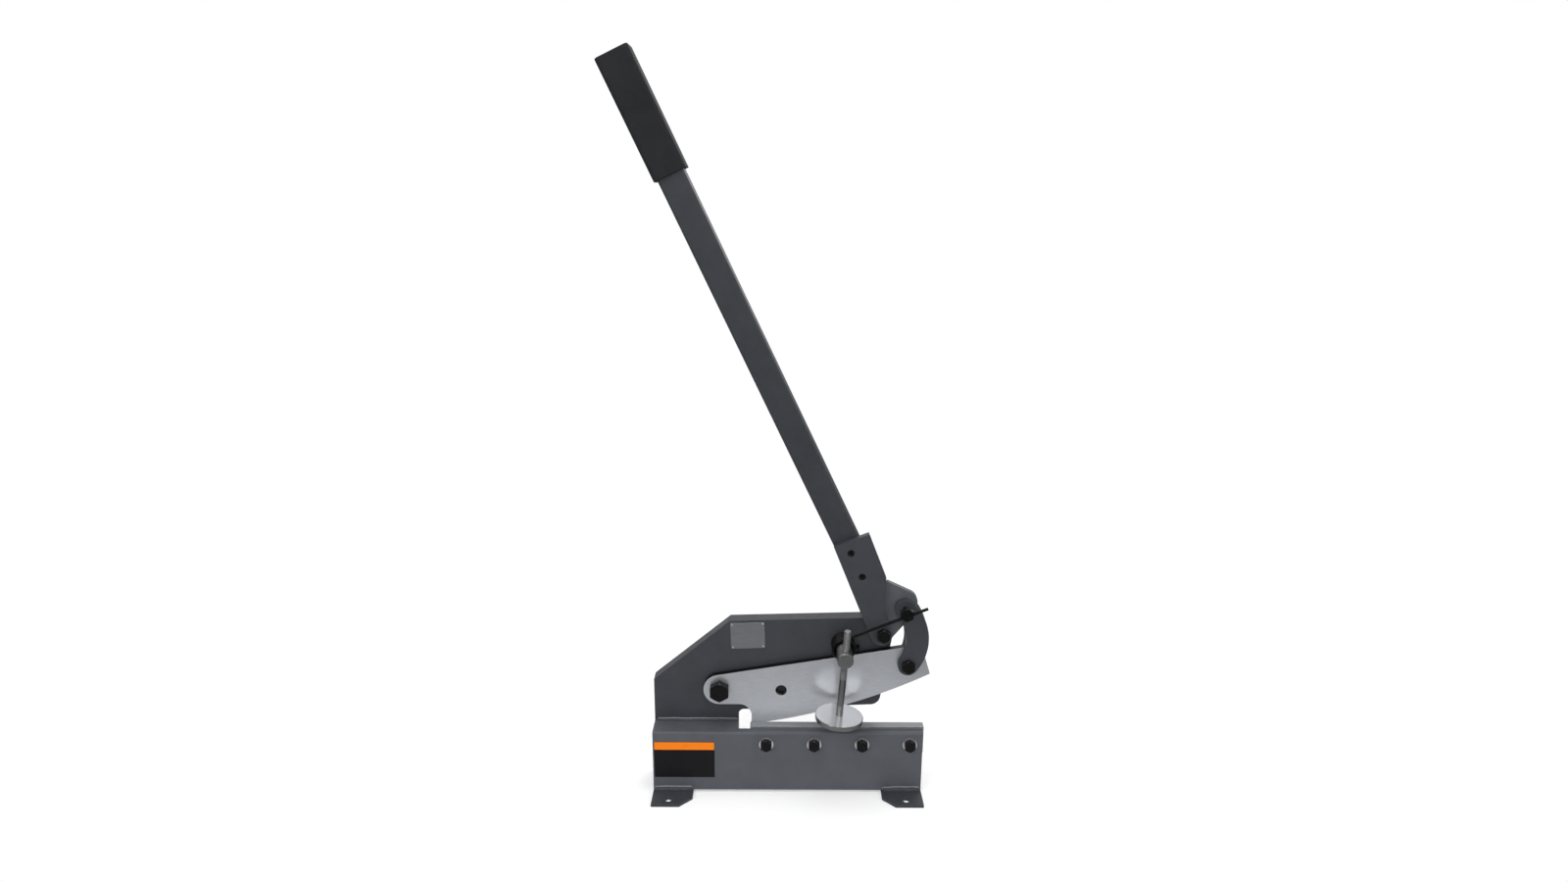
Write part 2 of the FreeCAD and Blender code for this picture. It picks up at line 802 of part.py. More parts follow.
def rounded_square(sketch, half, bend):
    """Square section centred behind the bar, its corners rounded."""
    middle = moving_front + cell("tube_side") / 2
    inner = half - bend
    outline(sketch, [(-inner, middle - inner, bend), (inner, middle - inner, bend),
                     (inner, middle + inner, bend), (-inner, middle + inner, bend)])


def make_handle_tube():
    body = new_body("handle_tube")
    start = cell("tube_start") - cell("bar_height")
    section = new_sketch(body, "section", "XY_Plane", start)
    half = cell("tube_side") / 2
    rounded_square(section, half, cell("tube_corner_radius"))
    rounded_square(section, half - cell("tube_wall"), cell("tube_bore_radius"))
    pad(body, section, cell("tube_top") - cell("tube_start"), towards_user=True)
    place_on_handle(body)


def make_handle_grip():
    body = new_body("handle_grip")
    top = cell("tube_top") - cell("bar_height")
    start = top - cell("grip_cover")
    section = new_sketch(body, "section", "XY_Plane", start)
    half = cell("tube_side") / 2
    outer = half + cell("grip_wall")
    rounded_square(section, outer, cell("grip_corner_radius"))
    rounded_square(section, half, cell("grip_bore_radius"))
    pad(body, section, cell("grip_cover"), towards_user=True)
    cap = new_sketch(body, "cap", "XY_Plane", top)
    rounded_square(cap, outer, cell("grip_corner_radius"))
    pad(body, cap, cell("grip_length") - cell("grip_cover"), towards_user=True)
    high = start + cell("grip_length")
    rim = edges_where(body.Shape, lambda edge: edge.BoundBox.ZMin > high.value - 0.01)
    dress(body, "Fillet", rim, cell("grip_top_round"))
    place_on_handle(body)


def make_handle_screw(name, height):
    """Screw through the bar into the front wall of the handle tube."""
    body = new_body(name)
    length = cell("bar_thick") - cell("handle_screw_recess")
    section = front_sketch(body, "section", bar_front + cell("handle_screw_recess"))
    circle(section, screw_x(height), cell(height), cell("handle_screw_radius"))
    pad(body, section, length)
    place_on_lever(body)


# Links
def make_link(name, front):
    """Crescent link between the ear pin and the blade pin."""
    body = new_body(name)
    face = front_sketch(body, "face", front)
    crescent(face)
    pad(body, face, cell("link_thick"))
    holes = front_sketch(body, "holes", front)
    circle(holes, link_head[0], link_head[1], cell("link_pin_radius") + cell("pivot_fit"))
    circle(holes, link_foot[0], link_foot[1], cell("link_pin_radius") + cell("pivot_fit"))
    pocket(body, holes, cell("link_thick"))


def crescent(sketch):
    """Two eyes joined by an outer and an inner arc, all tangent."""
    head = V(link_head[0].value, link_head[1].value, 0)
    foot = V(link_foot[0].value, link_foot[1].value, 0)
    head_radius = cell("link_top_radius")
    foot_radius = cell("link_foot_radius")
    outer = cell("link_outer_radius")
    inner = cell("link_inner_radius")
    outer_centre = left_centre(head, outer.value - head_radius.value,
                               foot, outer.value - foot_radius.value)
    inner_centre = left_centre(head, inner.value + head_radius.value,
                               foot, inner.value + foot_radius.value)
    head_out = head + (head - outer_centre).normalize() * head_radius.value
    foot_out = foot + (foot - outer_centre).normalize() * foot_radius.value
    head_in = head + (inner_centre - head).normalize() * head_radius.value
    foot_in = foot + (inner_centre - foot).normalize() * foot_radius.value
    arcs = [
        add_arc(sketch, outer_centre, outer.value, foot_out, head_out, False),
        add_arc(sketch, head, head_radius.value, head_out, head_in, False),
        add_arc(sketch, inner_centre, inner.value, head_in, foot_in, True),
        add_arc(sketch, foot, foot_radius.value, foot_in, foot_out, False),
    ]
    for arc, after in zip(arcs, arcs[1:] + arcs[:1]):
        sketch.addConstraint(Sketcher.Constraint("Tangent", arc[0], arc[2], after[0], after[1]))
    fix_point(sketch, arcs[1][0], 3, link_head[0], link_head[1])
    fix_point(sketch, arcs[3][0], 3, link_foot[0], link_foot[1])
    for arc, radius in zip(arcs, (outer, head_radius, inner, foot_radius)):
        fix_radius(sketch, arc[0], radius)


def left_centre(a, reach_a, b, reach_b):
    """Point left of the line b to a, at these distances from both."""
    gap = a - b
    span = gap.Length
    lengthwise = (reach_b ** 2 - reach_a ** 2 + span ** 2) / (2 * span)
    sideways = math.sqrt(reach_b ** 2 - lengthwise ** 2)
    unit = gap / span
    return b + unit * lengthwise + V(-unit.y, unit.x, 0) * sideways


def make_link_bolts():
    through = rear_link_back - link_front + cell("nut_height") + cell("thread_tail")
    wire_room = link_front - leg_front + cell("side_gap")
    make_bolt("upper_link_bolt", link_head[0], link_head[1], link_front - wire_room,
              cell("link_pin_radius"), cell("link_pin_flats"), cell("link_pin_head"),
              through + wire_room, (cell("link_pin_neck"), wire_room - cell("side_gap")))
    make_bolt("lower_link_bolt", link_foot[0], link_foot[1], link_front,
              cell("link_pin_radius"), cell("link_pin_flats"), cell("link_pin_head"), through)
    make_nut("upper_link_nut", link_head[0], link_head[1], rear_link_back,
             cell("link_pin_radius"), cell("link_pin_flats"), cell("nut_height"))
    make_nut("lower_link_nut", link_foot[0], link_foot[1], rear_link_back,
             cell("link_pin_radius"), cell("link_pin_flats"), cell("nut_height"))


# Hold-down
def make_hold_down_shaft():
    """Shaft drawn along Y, turned with the rod that crosses it."""
    body = new_body("hold_down_shaft")
    radius = cell("shaft_radius")
    end = frame_front - cell("shaft_reach")
    tail = frame_back + cell("nut_height") + cell("thread_tail")
    tail_radius = cell("shaft_tail_radius")
    profile = new_sketch(body, "profile", "XY_Plane")
    tip = cell("shank_bevel")
    outline(profile, [(0, end), (radius - tip, end), (radius, end + tip), (radius, frame_front),
                      (tail_radius, frame_front), (tail_radius, tail - tip),
                      (tail_radius - tip, tail), (0, tail)])
    revolve(body, profile)
    bore = new_sketch(body, "bore", "XY_Plane", -radius * 2)
    circle(bore, 0, end + cell("rod_inset"), cell("rod_radius") + cell("pivot_fit"))
    pocket(body, bore, radius * 4, upwards=True)
    put(body, shaft[0], 0, shaft[1])
    lean_right(body, cell("rod_lean"))


def place_on_rod(body):
    """The rod crosses the shaft's axis behind its front end."""
    y = frame_front - cell("shaft_reach") + cell("rod_inset")
    put(body, shaft[0], y, shaft[1])
    lean_right(body, cell("rod_lean"))


def make_hold_down():
    body = new_body("hold_down_rod")
    radius = cell("rod_radius")
    profile = new_sketch(body, "profile", "XZ_Plane")
    tip = cell("shank_bevel")
    outline(profile, [(0, -rod_drop), (radius, -rod_drop),
                      (radius, cell("rod_rise") - tip), (radius - tip, cell("rod_rise")),
                      (0, cell("rod_rise"))])
    revolve(body, profile)
    place_on_rod(body)
    pad_body = new_body("hold_down_pad")
    disc = new_sketch(pad_body, "disc", "XZ_Plane")
    top = -rod_drop
    wide = cell("pad_radius")
    soft = cell("pad_edge_bevel")
    low = top - cell("pad_thick")
    outline(disc, [(0, low), (wide - soft, low), (wide, low + soft), (wide, top - soft),
                   (wide - soft, top), (0, top)])
    revolve(pad_body, disc)
    place_on_rod(pad_body)


def make_shaft_nut():
    make_nut("hold_down_nut", shaft[0], shaft[1], frame_back, cell("shaft_tail_radius"),
             cell("shaft_nut_flats"), cell("nut_height"))


# Return spring: a coil round the shaft and a long straight leg
def make_return_spring():
    """The leg runs in one plane, just in front of the lever pivot's head."""
    radius = cell("spring_wire").value / 2
    mean = cell("spring_mean_radius").value
    pitch = cell("spring_wire").value + cell("spring_air").value
    gap = cell("side_gap").value
    back = frame_front.value - gap - radius
    front = leg_back.value - radius
    # wound left-handed, so that the leg leaves over the top of the coil
    helix = Part.makeHelix(pitch, back - front, mean, 0, True).Edges[0]
    start, end = helix.valueAt(helix.FirstParameter), helix.valueAt(helix.LastParameter)
    ring = Part.Wire([Part.makeCircle(radius, start, helix.tangentAt(helix.FirstParameter))])
    heading = V(end.y, -end.x, 0).normalize()
    leg = Part.makeLine(end, end + heading * cell("spring_leg_length").value)
    spring = Part.Wire([helix, leg]).makePipeShell([ring], True, True)
    # the coil winds upright: turn its leg to its angle, then lay its axis towards the user
    leg_turn = cell("spring_leg_angle").value - math.degrees(math.atan2(heading.y, heading.x))
    spin = FreeCAD.Rotation(V(0, 0, 1), leg_turn)
    feature = doc.addObject("Part::Feature", "return_spring")
    feature.Label = "return_spring"
    feature.Shape = spring
    place = V(shaft[0].value, back, shaft[1].value)
    feature.Placement = FreeCAD.Placement(place, TO_THE_FRONT.multiply(spin))


def make_spring_anchor():
    """Pin in the frame plate that stops the coil's inner end."""
    body = new_body("spring_anchor")
    foot = front_sketch(body, "foot", frame_front)
    x = shaft[0] + cell("anchor_right")
    z = shaft[1] - cell("anchor_drop")
    circle(foot, x, z, cell("anchor_radius"))
    pad(body, foot, cell("anchor_length"), towards_user=True)


make_base_angle()
make_foot("left_foot", -1)
make_foot("right_foot", 1)
make_frame_plate()
make_lower_blade()
make_blade_bolts()
make_upper_blade()
make_pivots()
make_lever_bar()
make_lever_ear()
make_handle_tube()
make_handle_grip()
make_handle_screw("handle_screw_1", "handle_screw_low")
make_handle_screw("handle_screw_2", "handle_screw_high")
make_link("front_link", link_front)
make_link("rear_link", rear_link_front)
make_link_bolts()
make_hold_down_shaft()
make_shaft_nut()
make_hold_down()
make_return_spring()
make_spring_anchor()
doc.recompute()

# Check every object and write one file a piece
os.makedirs("parts", exist_ok=True)
for thing in doc.Objects:
    if "Invalid" in thing.State or "Error" in thing.State:
        raise RuntimeError("failed object: %s %s" % (thing.Name, thing.State))
pieces = [thing for thing in doc.Objects
          if thing.TypeId == "PartDesign::Body" or thing.TypeId == "Part::Feature"]
for piece in pieces:
    if piece.Shape.isNull() or not piece.Shape.isValid():
        raise RuntimeError("bad shape: " + piece.Label)
for piece in pieces:
    piece.Shape.exportStep("parts/%s.step" % piece.Label)
print("%d pieces" % len(pieces))
for piece in pieces:
    box = piece.Shape.BoundBox
    print("%-24s %7.1f %7.1f  %7.1f %7.1f  %7.1f %7.1f  %9.0f" % (
        piece.Label, box.XMin, box.XMax, box.YMin, box.YMax, box.ZMin, box.ZMax, piece.Shape.Volume))
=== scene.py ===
import math

import bmesh
import bpy
from mathutils import Matrix, Vector, noise


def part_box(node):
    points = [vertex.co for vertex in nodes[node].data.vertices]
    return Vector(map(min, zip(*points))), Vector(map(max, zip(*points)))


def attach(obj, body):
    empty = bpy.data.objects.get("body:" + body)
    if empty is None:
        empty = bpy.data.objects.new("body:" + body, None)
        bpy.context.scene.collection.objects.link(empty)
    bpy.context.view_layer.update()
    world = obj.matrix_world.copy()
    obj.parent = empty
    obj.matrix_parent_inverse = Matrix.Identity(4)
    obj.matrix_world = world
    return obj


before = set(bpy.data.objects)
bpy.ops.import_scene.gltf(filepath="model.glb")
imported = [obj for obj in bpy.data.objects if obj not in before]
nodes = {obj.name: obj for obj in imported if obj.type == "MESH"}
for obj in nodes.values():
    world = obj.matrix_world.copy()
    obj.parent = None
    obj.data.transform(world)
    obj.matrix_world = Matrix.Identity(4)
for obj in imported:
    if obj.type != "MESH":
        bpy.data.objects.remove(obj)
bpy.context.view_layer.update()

# Hand lever shear in metres: X to the right along the base, Y away from the user, Z up.
MM = 0.001
RIGHT = Vector((1, 0, 0))
FORWARD, BACKWARD = Vector((0, -1, 0)), Vector((0, 1, 0))
UPWARD, DOWNWARD = Vector((0, 0, 1)), Vector((0, 0, -1))
WHITE = (1, 1, 1, 1)
LEVER_LEAN = math.radians(21.7)
ROD_LEAN = math.radians(4.2)
ROD_AXIS = Vector((math.sin(ROD_LEAN), 0, math.cos(ROD_LEAN)))


# Node helpers
def new_material(name):
    """Empty node material; returns it, its tree and its Principled shader."""
    material = bpy.data.materials.new(name)
    material.use_nodes = True
    tree = material.node_tree
    tree.nodes.clear()
    out = tree.nodes.new("ShaderNodeOutputMaterial")
    shader = tree.nodes.new("ShaderNodeBsdfPrincipled")
    tree.links.new(shader.outputs["BSDF"], out.inputs["Surface"])
    return material, tree, shader


def feed(tree, item, inputs):
    """Give a node its inputs; each is a value or a socket."""
    for key, value in inputs.items():
        if isinstance(value, bpy.types.NodeSocket):
            tree.links.new(value, item.inputs[key])
        else:
            item.inputs[key].default_value = value


def add(tree, kind, inputs=None, **settings):
    """New shader node with its settings and inputs."""
    item = tree.nodes.new("ShaderNode" + kind)
    for key, value in settings.items():
        setattr(item, key, value)
    feed(tree, item, inputs or {})
    return item


def object_coords(tree, stretch=(1, 1, 1)):
    """The object's own coordinates, stretched."""
    coords = add(tree, "TexCoord").outputs["Object"]
    return add(tree, "Mapping", {"Vector": coords, "Scale": stretch}).outputs["Vector"]


def grain(tree, scale, detail=4.0, rough=0.55, stretch=(1, 1, 1)):
    """Noise in the object's own coordinates."""
    coords = object_coords(tree, stretch)
    inputs = {"Vector": coords, "Scale": scale, "Detail": detail, "Roughness": rough}
    return add(tree, "TexNoise", inputs).outputs["Fac"]


def fit(tree, value, low, high, to_low=0.0, to_high=1.0):
    """Map low to high onto to_low to to_high, clamped."""
    inputs = {"Value": value, "From Min": low, "From Max": high, "To Min": to_low, "To Max": to_high}
    return add(tree, "MapRange", inputs, clamp=True).outputs["Result"]


def math_node(tree, operation, first, second=0.0):
    return add(tree, "Math", {0: first, 1: second}, operation=operation).outputs["Value"]


def times(tree, first, second):
    return math_node(tree, "MULTIPLY", first, second)


def dot(tree, first, second):
    inputs = {0: first, 1: second}
    return add(tree, "VectorMath", inputs, operation="DOT_PRODUCT").outputs["Value"]


def mix(tree, factor, first, second):
    inputs = {0: factor, 6: first, 7: second}
    return add(tree, "Mix", inputs, data_type="RGBA").outputs[2]


def wear_and_highlight_edges(tree, radius, low=0.9, high=0.985):
    """1 along convex and concave edges, 0 on flats, broken up by noise."""
    round_normal = add(tree, "Bevel", {"Radius": radius}, samples=6).outputs["Normal"]
    flat_normal = add(tree, "NewGeometry").outputs["Normal"]
    edge = fit(tree, dot(tree, round_normal, flat_normal), low, high, 1.0, 0.0)
    patches = fit(tree, grain(tree, 160.0, 5.0, 0.7), 0.42, 0.66)
    return times(tree, edge, patches)


def relief(tree, shader, layers, edge_radius=0.0):
    """Bump layers of (height socket, strength, distance), over softened edges."""
    normal = None
    if edge_radius:
        normal = add(tree, "Bevel", {"Radius": edge_radius}, samples=6).outputs["Normal"]
    for height, strength, distance in layers:
        inputs = {"Height": height, "Strength": strength, "Distance": distance}
        if normal is not None:
            inputs["Normal"] = normal
        normal = add(tree, "Bump", inputs).outputs["Normal"]
    tree.links.new(normal, shader.inputs["Normal"])


def colour(red, green, blue):
    return (red, green, blue, 1.0)


def shade(paint, share):
    """A colour made darker or lighter."""
    return colour(*[channel * share for channel in paint[:3]])


def tinted(tone, red, green, blue):
    """A grey tone with a share for each channel."""
    return colour(tone * red, tone * green, tone * blue)


# Materials
def painted_steel(name, paint, rough=0.42, bare_and_highlight=0.12):
    """Satin machine paint with orange peel, faint mottling, dust, and lighter edges that are partly rubbed
    wear and partly a painted highlight.
    """
    material, tree, shader = new_material(name)
    blotches = fit(tree, grain(tree, 22.0, 6.0, 0.6), 0.3, 0.7)
    mottled = mix(tree, blotches, shade(paint, 0.9), shade(paint, 1.08))
    dust = fit(tree, grain(tree, 420.0, 3.0, 0.7), 0.62, 0.8, 0.0, 0.35)
    dusty = mix(tree, dust, mottled, shade(paint, 1.5))
    # Lighter edges toward bare steel: partly rubbed wear, partly a painted highlight along the edges.
    rubbed = wear_and_highlight_edges(tree, 1.1 * MM)
    sheen = fit(tree, grain(tree, 60.0, 5.0), 0.3, 0.7, rough - 0.07, rough + 0.08)
    feed(tree, shader, {
        "Base Color": mix(tree, rubbed, dusty, tinted(bare_and_highlight, 1, 1.04, 1.12)),
        "Roughness": sheen,
        "Metallic": times(tree, rubbed, 0.3),
        "Specular IOR Level": 0.24})
    orange_peel = grain(tree, 900.0, 2.0)
    waves = grain(tree, 90.0, 3.0)
    relief(tree, shader, [(orange_peel, 0.22, 0.12 * MM), (waves, 0.18, 0.4 * MM)], 0.9 * MM)
    return material


def black_scale(tree, steel):
    """Leave the black scale of the plate on the sides that don't face down."""
    normal = add(tree, "SeparateXYZ", {0: add(tree, "TexCoord").outputs["Normal"]})
    front_or_back = math_node(tree, "ABSOLUTE", normal.outputs["Y"])
    on_side = fit(tree, front_or_back, 0.55, 0.8, 1.0, 0.0)
    not_below = fit(tree, normal.outputs["Z"], -0.5, -0.2)
    return mix(tree, times(tree, on_side, not_below), steel, colour(0.022, 0.023, 0.026))


def ground_steel(name, tone, stretch, rough=0.34, metal=0.8, black_sides=False):
    """Surface-ground steel: fine straight grinding lines and cloudy oil film."""
    material, tree, shader = new_material(name)
    lines = grain(tree, 340.0, 6.0, 0.75, stretch)
    clouds = grain(tree, 9.0, 5.0, 0.6)
    dark, light = tinted(tone, 0.85, 0.88, 0.94), tinted(tone, 1.08, 1.12, 1.19)
    steel = mix(tree, fit(tree, lines, 0.3, 0.7), dark, light)
    filmed = fit(tree, clouds, 0.35, 0.7, 0.0, 0.35)
    film = mix(tree, filmed, steel, tinted(tone, 0.8, 0.82, 0.86))
    specks = fit(tree, grain(tree, 700.0, 2.0, 0.6), 0.7, 0.78, 0.0, 0.5)
    spotted = mix(tree, specks, film, colour(0.12, 0.11, 0.1))
    worn = mix(tree, wear_and_highlight_edges(tree, 0.9 * MM), spotted, colour(0.8, 0.8, 0.82))
    if black_sides:
        worn = black_scale(tree, worn)
    feed(tree, shader, {
        "Base Color": worn,
        "Metallic": metal,
        "Roughness": fit(tree, clouds, 0.3, 0.75, rough - 0.05, rough + 0.1)})
    pits = grain(tree, 130.0, 4.0)
    relief(tree, shader, [(lines, 0.16, 0.1 * MM), (pits, 0.08, 0.2 * MM)], 0.6 * MM)
    return material


def black_oxide(name, rough=0.21):
    """Oiled black finish of bolts and the spring, browner in patches; its lighter edges are partly wear from
    handling and partly a painted highlight.
    """
    material, tree, shader = new_material(name)
    patches = grain(tree, 130.0, 5.0, 0.65)
    deep, brown = colour(0.003, 0.003, 0.0035), colour(0.007, 0.0068, 0.0068)
    black = mix(tree, fit(tree, patches, 0.35, 0.7), deep, brown)
    # Lighter edges: partly wear from handling, partly a painted highlight on the chamfers.
    handled_and_highlit = wear_and_highlight_edges(tree, 1.4 * MM)
    feed(tree, shader, {
        "Base Color": mix(tree, handled_and_highlit, black, colour(0.12, 0.12, 0.122)),
        "Specular IOR Level": 0.16,
        "Roughness": fit(tree, patches, 0.3, 0.7, rough - 0.08, rough + 0.1)})
    relief(tree, shader, [(grain(tree, 800.0, 3.0), 0.2, 0.1 * MM)], 0.5 * MM)
    return material


def turned_marks(tree, axis, pitch, start, end):
    """Waves along an axis, between two distances from the origin."""
    coords = add(tree, "TexCoord").outputs["Object"]
    along = dot(tree, coords, axis)
    wave = math_node(tree, "SINE", times(tree, along, 2 * math.pi / pitch))
    span = times(tree, fit(tree, along, start, start + pitch), fit(tree, along, end, end - pitch))
    return times(tree, wave, span)


def bright_steel(name, tone, rough, rings=None, painted_bright_face=None):
    """Bright steel with fine tool marks.

    rings is (axis, pitch, depth, start, end) for turned marks or a thread, and painted_bright_face is
    (axis, tone, metal) for a paler face square to the axis, a painted highlight.
    """
    material, tree, shader = new_material(name)
    haze = grain(tree, 45.0, 5.0, 0.6)
    clean, dull = tinted(tone, 1, 1, 1.01), tinted(tone, 0.82, 0.83, 0.85)
    steel = mix(tree, fit(tree, haze, 0.3, 0.75), clean, dull)
    metallic = 0.92
    # Painted highlight: the face square to the axis is paler and less metallic than the rest.
    if painted_bright_face:
        axis, pale, metal = painted_bright_face
        normal = add(tree, "TexCoord").outputs["Normal"]
        on_face = fit(tree, dot(tree, normal, axis), 0.85, 0.95)
        steel = mix(tree, on_face, steel, tinted(pale, 1, 1, 1.01))
        metallic = fit(tree, on_face, 0, 1, metallic, metal)
    specks = fit(tree, grain(tree, 900.0, 2.0), 0.68, 0.78, 0.0, 0.4)
    feed(tree, shader, {
        "Base Color": mix(tree, specks, steel, colour(0.2, 0.19, 0.18)),
        "Metallic": metallic,
        "Roughness": fit(tree, haze, 0.3, 0.75, rough * 0.75, rough * 1.4)})
    layers = [(grain(tree, 600.0, 4.0), 0.03, 0.1 * MM)]
    if rings:
        axis, pitch, depth, start, end = rings
        layers.append((turned_marks(tree, axis, pitch, start, end), 0.9, depth))
    relief(tree, shader, layers, 0.5 * MM)
    return material


def moulded_rubber(name):
    """Matt black grip rubber with a fine moulded grain and rubbed corners."""
    material, tree, shader = new_material(name)
    bloom = grain(tree, 16.0, 5.0, 0.6)
    fresh, greyed = colour(0.013, 0.0135, 0.015), colour(0.022, 0.023, 0.025)
    black = mix(tree, fit(tree, bloom, 0.3, 0.75), fresh, greyed)
    rubbed = wear_and_highlight_edges(tree, 3 * MM)
    feed(tree, shader, {
        "Base Color": mix(tree, rubbed, black, colour(0.03, 0.03, 0.032)),
        "Roughness": fit(tree, bloom, 0.3, 0.75, 0.62, 0.78),
        "Specular IOR Level": 0.2})
    cells = add(tree, "TexVoronoi", {"Vector": object_coords(tree), "Scale": 620.0})
    pebbles = cells.outputs["Distance"]
    swells = grain(tree, 60.0, 4.0)
    relief(tree, shader, [(pebbles, 0.2, 0.2 * MM), (swells, 0.15, 0.5 * MM)], 2.5 * MM)
    return material


def vinyl(name, tint, rough=0.35):
    """Printed vinyl film, scuffed and faintly uneven where it is stuck down."""
    material, tree, shader = new_material(name)
    scuffs = fit(tree, grain(tree, 260.0, 6.0, 0.8, (1, 1, 6)), 0.6, 0.8, 0.0, 0.08)
    fade = fit(tree, grain(tree, 14.0, 4.0), 0.3, 0.7)
    faded = mix(tree, fade, shade(tint, 0.96), colour(*tint))
    gloss = fit(tree, grain(tree, 50.0, 4.0), 0.3, 0.7, rough - 0.08, rough + 0.12)
    feed(tree, shader, {
        "Base Color": mix(tree, scuffs, faded, colour(0.4, 0.39, 0.38)),
        "Roughness": gloss,
        "Specular IOR Level": 0.18})
    uneven = grain(tree, 45.0, 2.0)
    fine = grain(tree, 800.0, 2.0)
    relief(tree, shader, [(uneven, 0.12, 0.5 * MM), (fine, 0.08, 0.1 * MM)])
    return material


def threaded_rod(name):
    """Bright rod, threaded along its upper part; the pitch is 1.75 mm. Its low tone is painted shade for the
    dim surroundings it reflects.
    """
    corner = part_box("hold_down_rod")[1]
    top = Vector((corner.x, 0, corner.z)).dot(ROD_AXIS)
    thread = (tuple(ROD_AXIS), 1.75 * MM, 0.5 * MM, top - 88 * MM, top - 2 * MM)
    # The tone of 0.23 is painted shade: the rod is darker than bright steel, to read as reflecting a dim
    # room.
    return bright_steel(name, 0.23, 0.11, thread)


# Lighter copy of the frame paint on the base: painted light for the bounce from the floor.
base_paint_painted_light = painted_steel("base_paint_painted_light", colour(0.097, 0.103, 0.118))
machine_paint = painted_steel("machine_paint", colour(0.050, 0.053, 0.062))
# Darker copy of the frame paint on the handle tube, with fainter edge lightening: painted shade.
tube_paint_painted_shade = painted_steel("tube_paint_painted_shade", colour(0.042, 0.045, 0.053), bare_and_highlight=0.05)
# Lighter copy of the frame paint on the lever ear: painted light that offsets the shade of the bar in front
# of it.
ear_paint_painted_light = painted_steel("ear_paint_painted_light", colour(0.102, 0.106, 0.119))
# Pale paint on the upper toe of each weld bead: a painted highlight line.
weld_highlight_paint = painted_steel("weld_painted_highlight", colour(0.24, 0.245, 0.26))
upper_blade_steel = ground_steel("upper_blade_ground", 0.69, (0.16, 1, 2.4), black_sides=True)
# Same ground steel as the upper blade, made darker: painted shade for its top face, which the lamps light
# from above.
lower_blade_steel_painted_shade = ground_steel("lower_blade_ground", 0.25, (0.12, 1, 2.4), metal=0.3)
oxide = black_oxide("black_oxide")
zinc = bright_steel("bright_zinc", 0.78, 0.3)
shaft_marks = (tuple(BACKWARD), 0.6 * MM, 0.06 * MM, -1, 1)
shaft_steel = bright_steel("hold_down_shaft_steel", 0.27, 0.24, shaft_marks)
rubber = moulded_rubber("grip_rubber")
plate_steel = ground_steel("nameplate_steel", 0.31, (0.1, 1, 2.0), 0.4)
orange_vinyl = vinyl("orange_vinyl", (1.0, 0.235, 0.006))
black_vinyl = vinyl("black_vinyl", (0.006, 0.006, 0.0075))
rod_steel = threaded_rod("hold_down_rod_steel")
# The pad's top face is painted paler and less metallic, a painted highlight.
pad_steel = bright_steel("hold_down_pad_steel", 0.25, 0.2, painted_bright_face=(tuple(ROD_AXIS), 0.6, 0.6))


def dress(material, *names):
    """Give CAD nodes a material."""
    for name in names:
        mesh = nodes[name].data
        mesh.materials.clear()
        mesh.materials.append(material)


dress(base_paint_painted_light, "base_angle")
dress(ear_paint_painted_light, "lever_ear")
dress(tube_paint_painted_shade, "handle_tube")
dress(machine_paint, "left_foot", "right_foot", "frame_plate", "lever_bar", "front_link", "rear_link")
dress(upper_blade_steel, "upper_blade")
dress(lower_blade_steel_painted_shade, "lower_blade")
dress(zinc, *["lower_blade_washer_%d" % number for number in range(1, 5)])
dress(oxide, *["lower_blade_bolt_%d" % number for number in range(1, 5)])
dress(oxide, "blade_pivot_bolt", "blade_pivot_nut", "lever_pivot_bolt", "lever_pivot_nut",
      "upper_link_bolt", "upper_link_nut", "lower_link_bolt", "lower_link_nut", "hold_down_nut",
      "handle_screw_1", "handle_screw_2", "return_spring", "spring_anchor")
dress(shaft_steel, "hold_down_shaft")
dress(rod_steel, "hold_down_rod")
dress(pad_steel, "hold_down_pad")
dress(rubber, "handle_grip")


# Mesh helpers
def piece(name, mesh, body, materials, smooth=True):
    """Object from a bmesh, riding on a body."""
    bmesh.ops.recalc_face_normals(mesh, faces=mesh.faces)
    data = bpy.data.meshes.new(name)
    mesh.to_mesh(data)
    mesh.free()
    for material in materials:
        data.materials.append(material)
    for face in data.polygons:
        face.use_smooth = smooth
    thing = bpy.data.objects.new(name, data)
    bpy.context.scene.collection.objects.link(thing)
    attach(thing, body)
    return thing


def skin(rings, ends=True):
    """Mesh of faces between closed rings of points, with a face at each end."""
    mesh = bmesh.new()
    rows = [[mesh.verts.new(point) for point in ring] for ring in rings]
    count = len(rows[0])
    for low, high in zip(rows, rows[1:]):
        for i in range(count):
            j = (i + 1) % count
            mesh.faces.new((low[i], low[j], high[j], high[i]))
    if ends:
        mesh.faces.new(rows[0])
        mesh.faces.new(rows[-1])
    return mesh


def closed_skin(rings):
    """Mesh of rings that come back to the first one."""
    mesh = skin(rings + rings[:1], ends=False)
    bmesh.ops.remove_doubles(mesh, verts=mesh.verts, dist=0.01 * MM)
    return mesh


def circle(centre, right, up, radius, sides):
    """Points round a centre."""
    turns = [math.tau * i / sides for i in range(sides)]
    return [centre + (right * math.cos(turn) + up * math.sin(turn)) * radius for turn in turns]


# Weld beads along the feet, the flange and the frame plate
BEAD_STEP = 0.6 * MM
BEAD_SUNK = 0.4 * MM
BEAD_RIPPLE = 3.2 * MM
BEAD_RUN_IN = 4 * MM
BEAD_START_SHARE = 0.45
LUMP_RATE, DRIFT_RATE = 160, 45
# points of the toe, which carries a painted highlight: distance out from the wall, and down from the bead's
# upper edge
TOE = ((0.35 * MM, 0), (0.8 * MM, 0.35 * MM), (1.0 * MM, 1.2 * MM))
# faces of the section that take the pale paint of the painted highlight
PAINTED_HIGHLIGHT_FACES = (1, 2, 3)


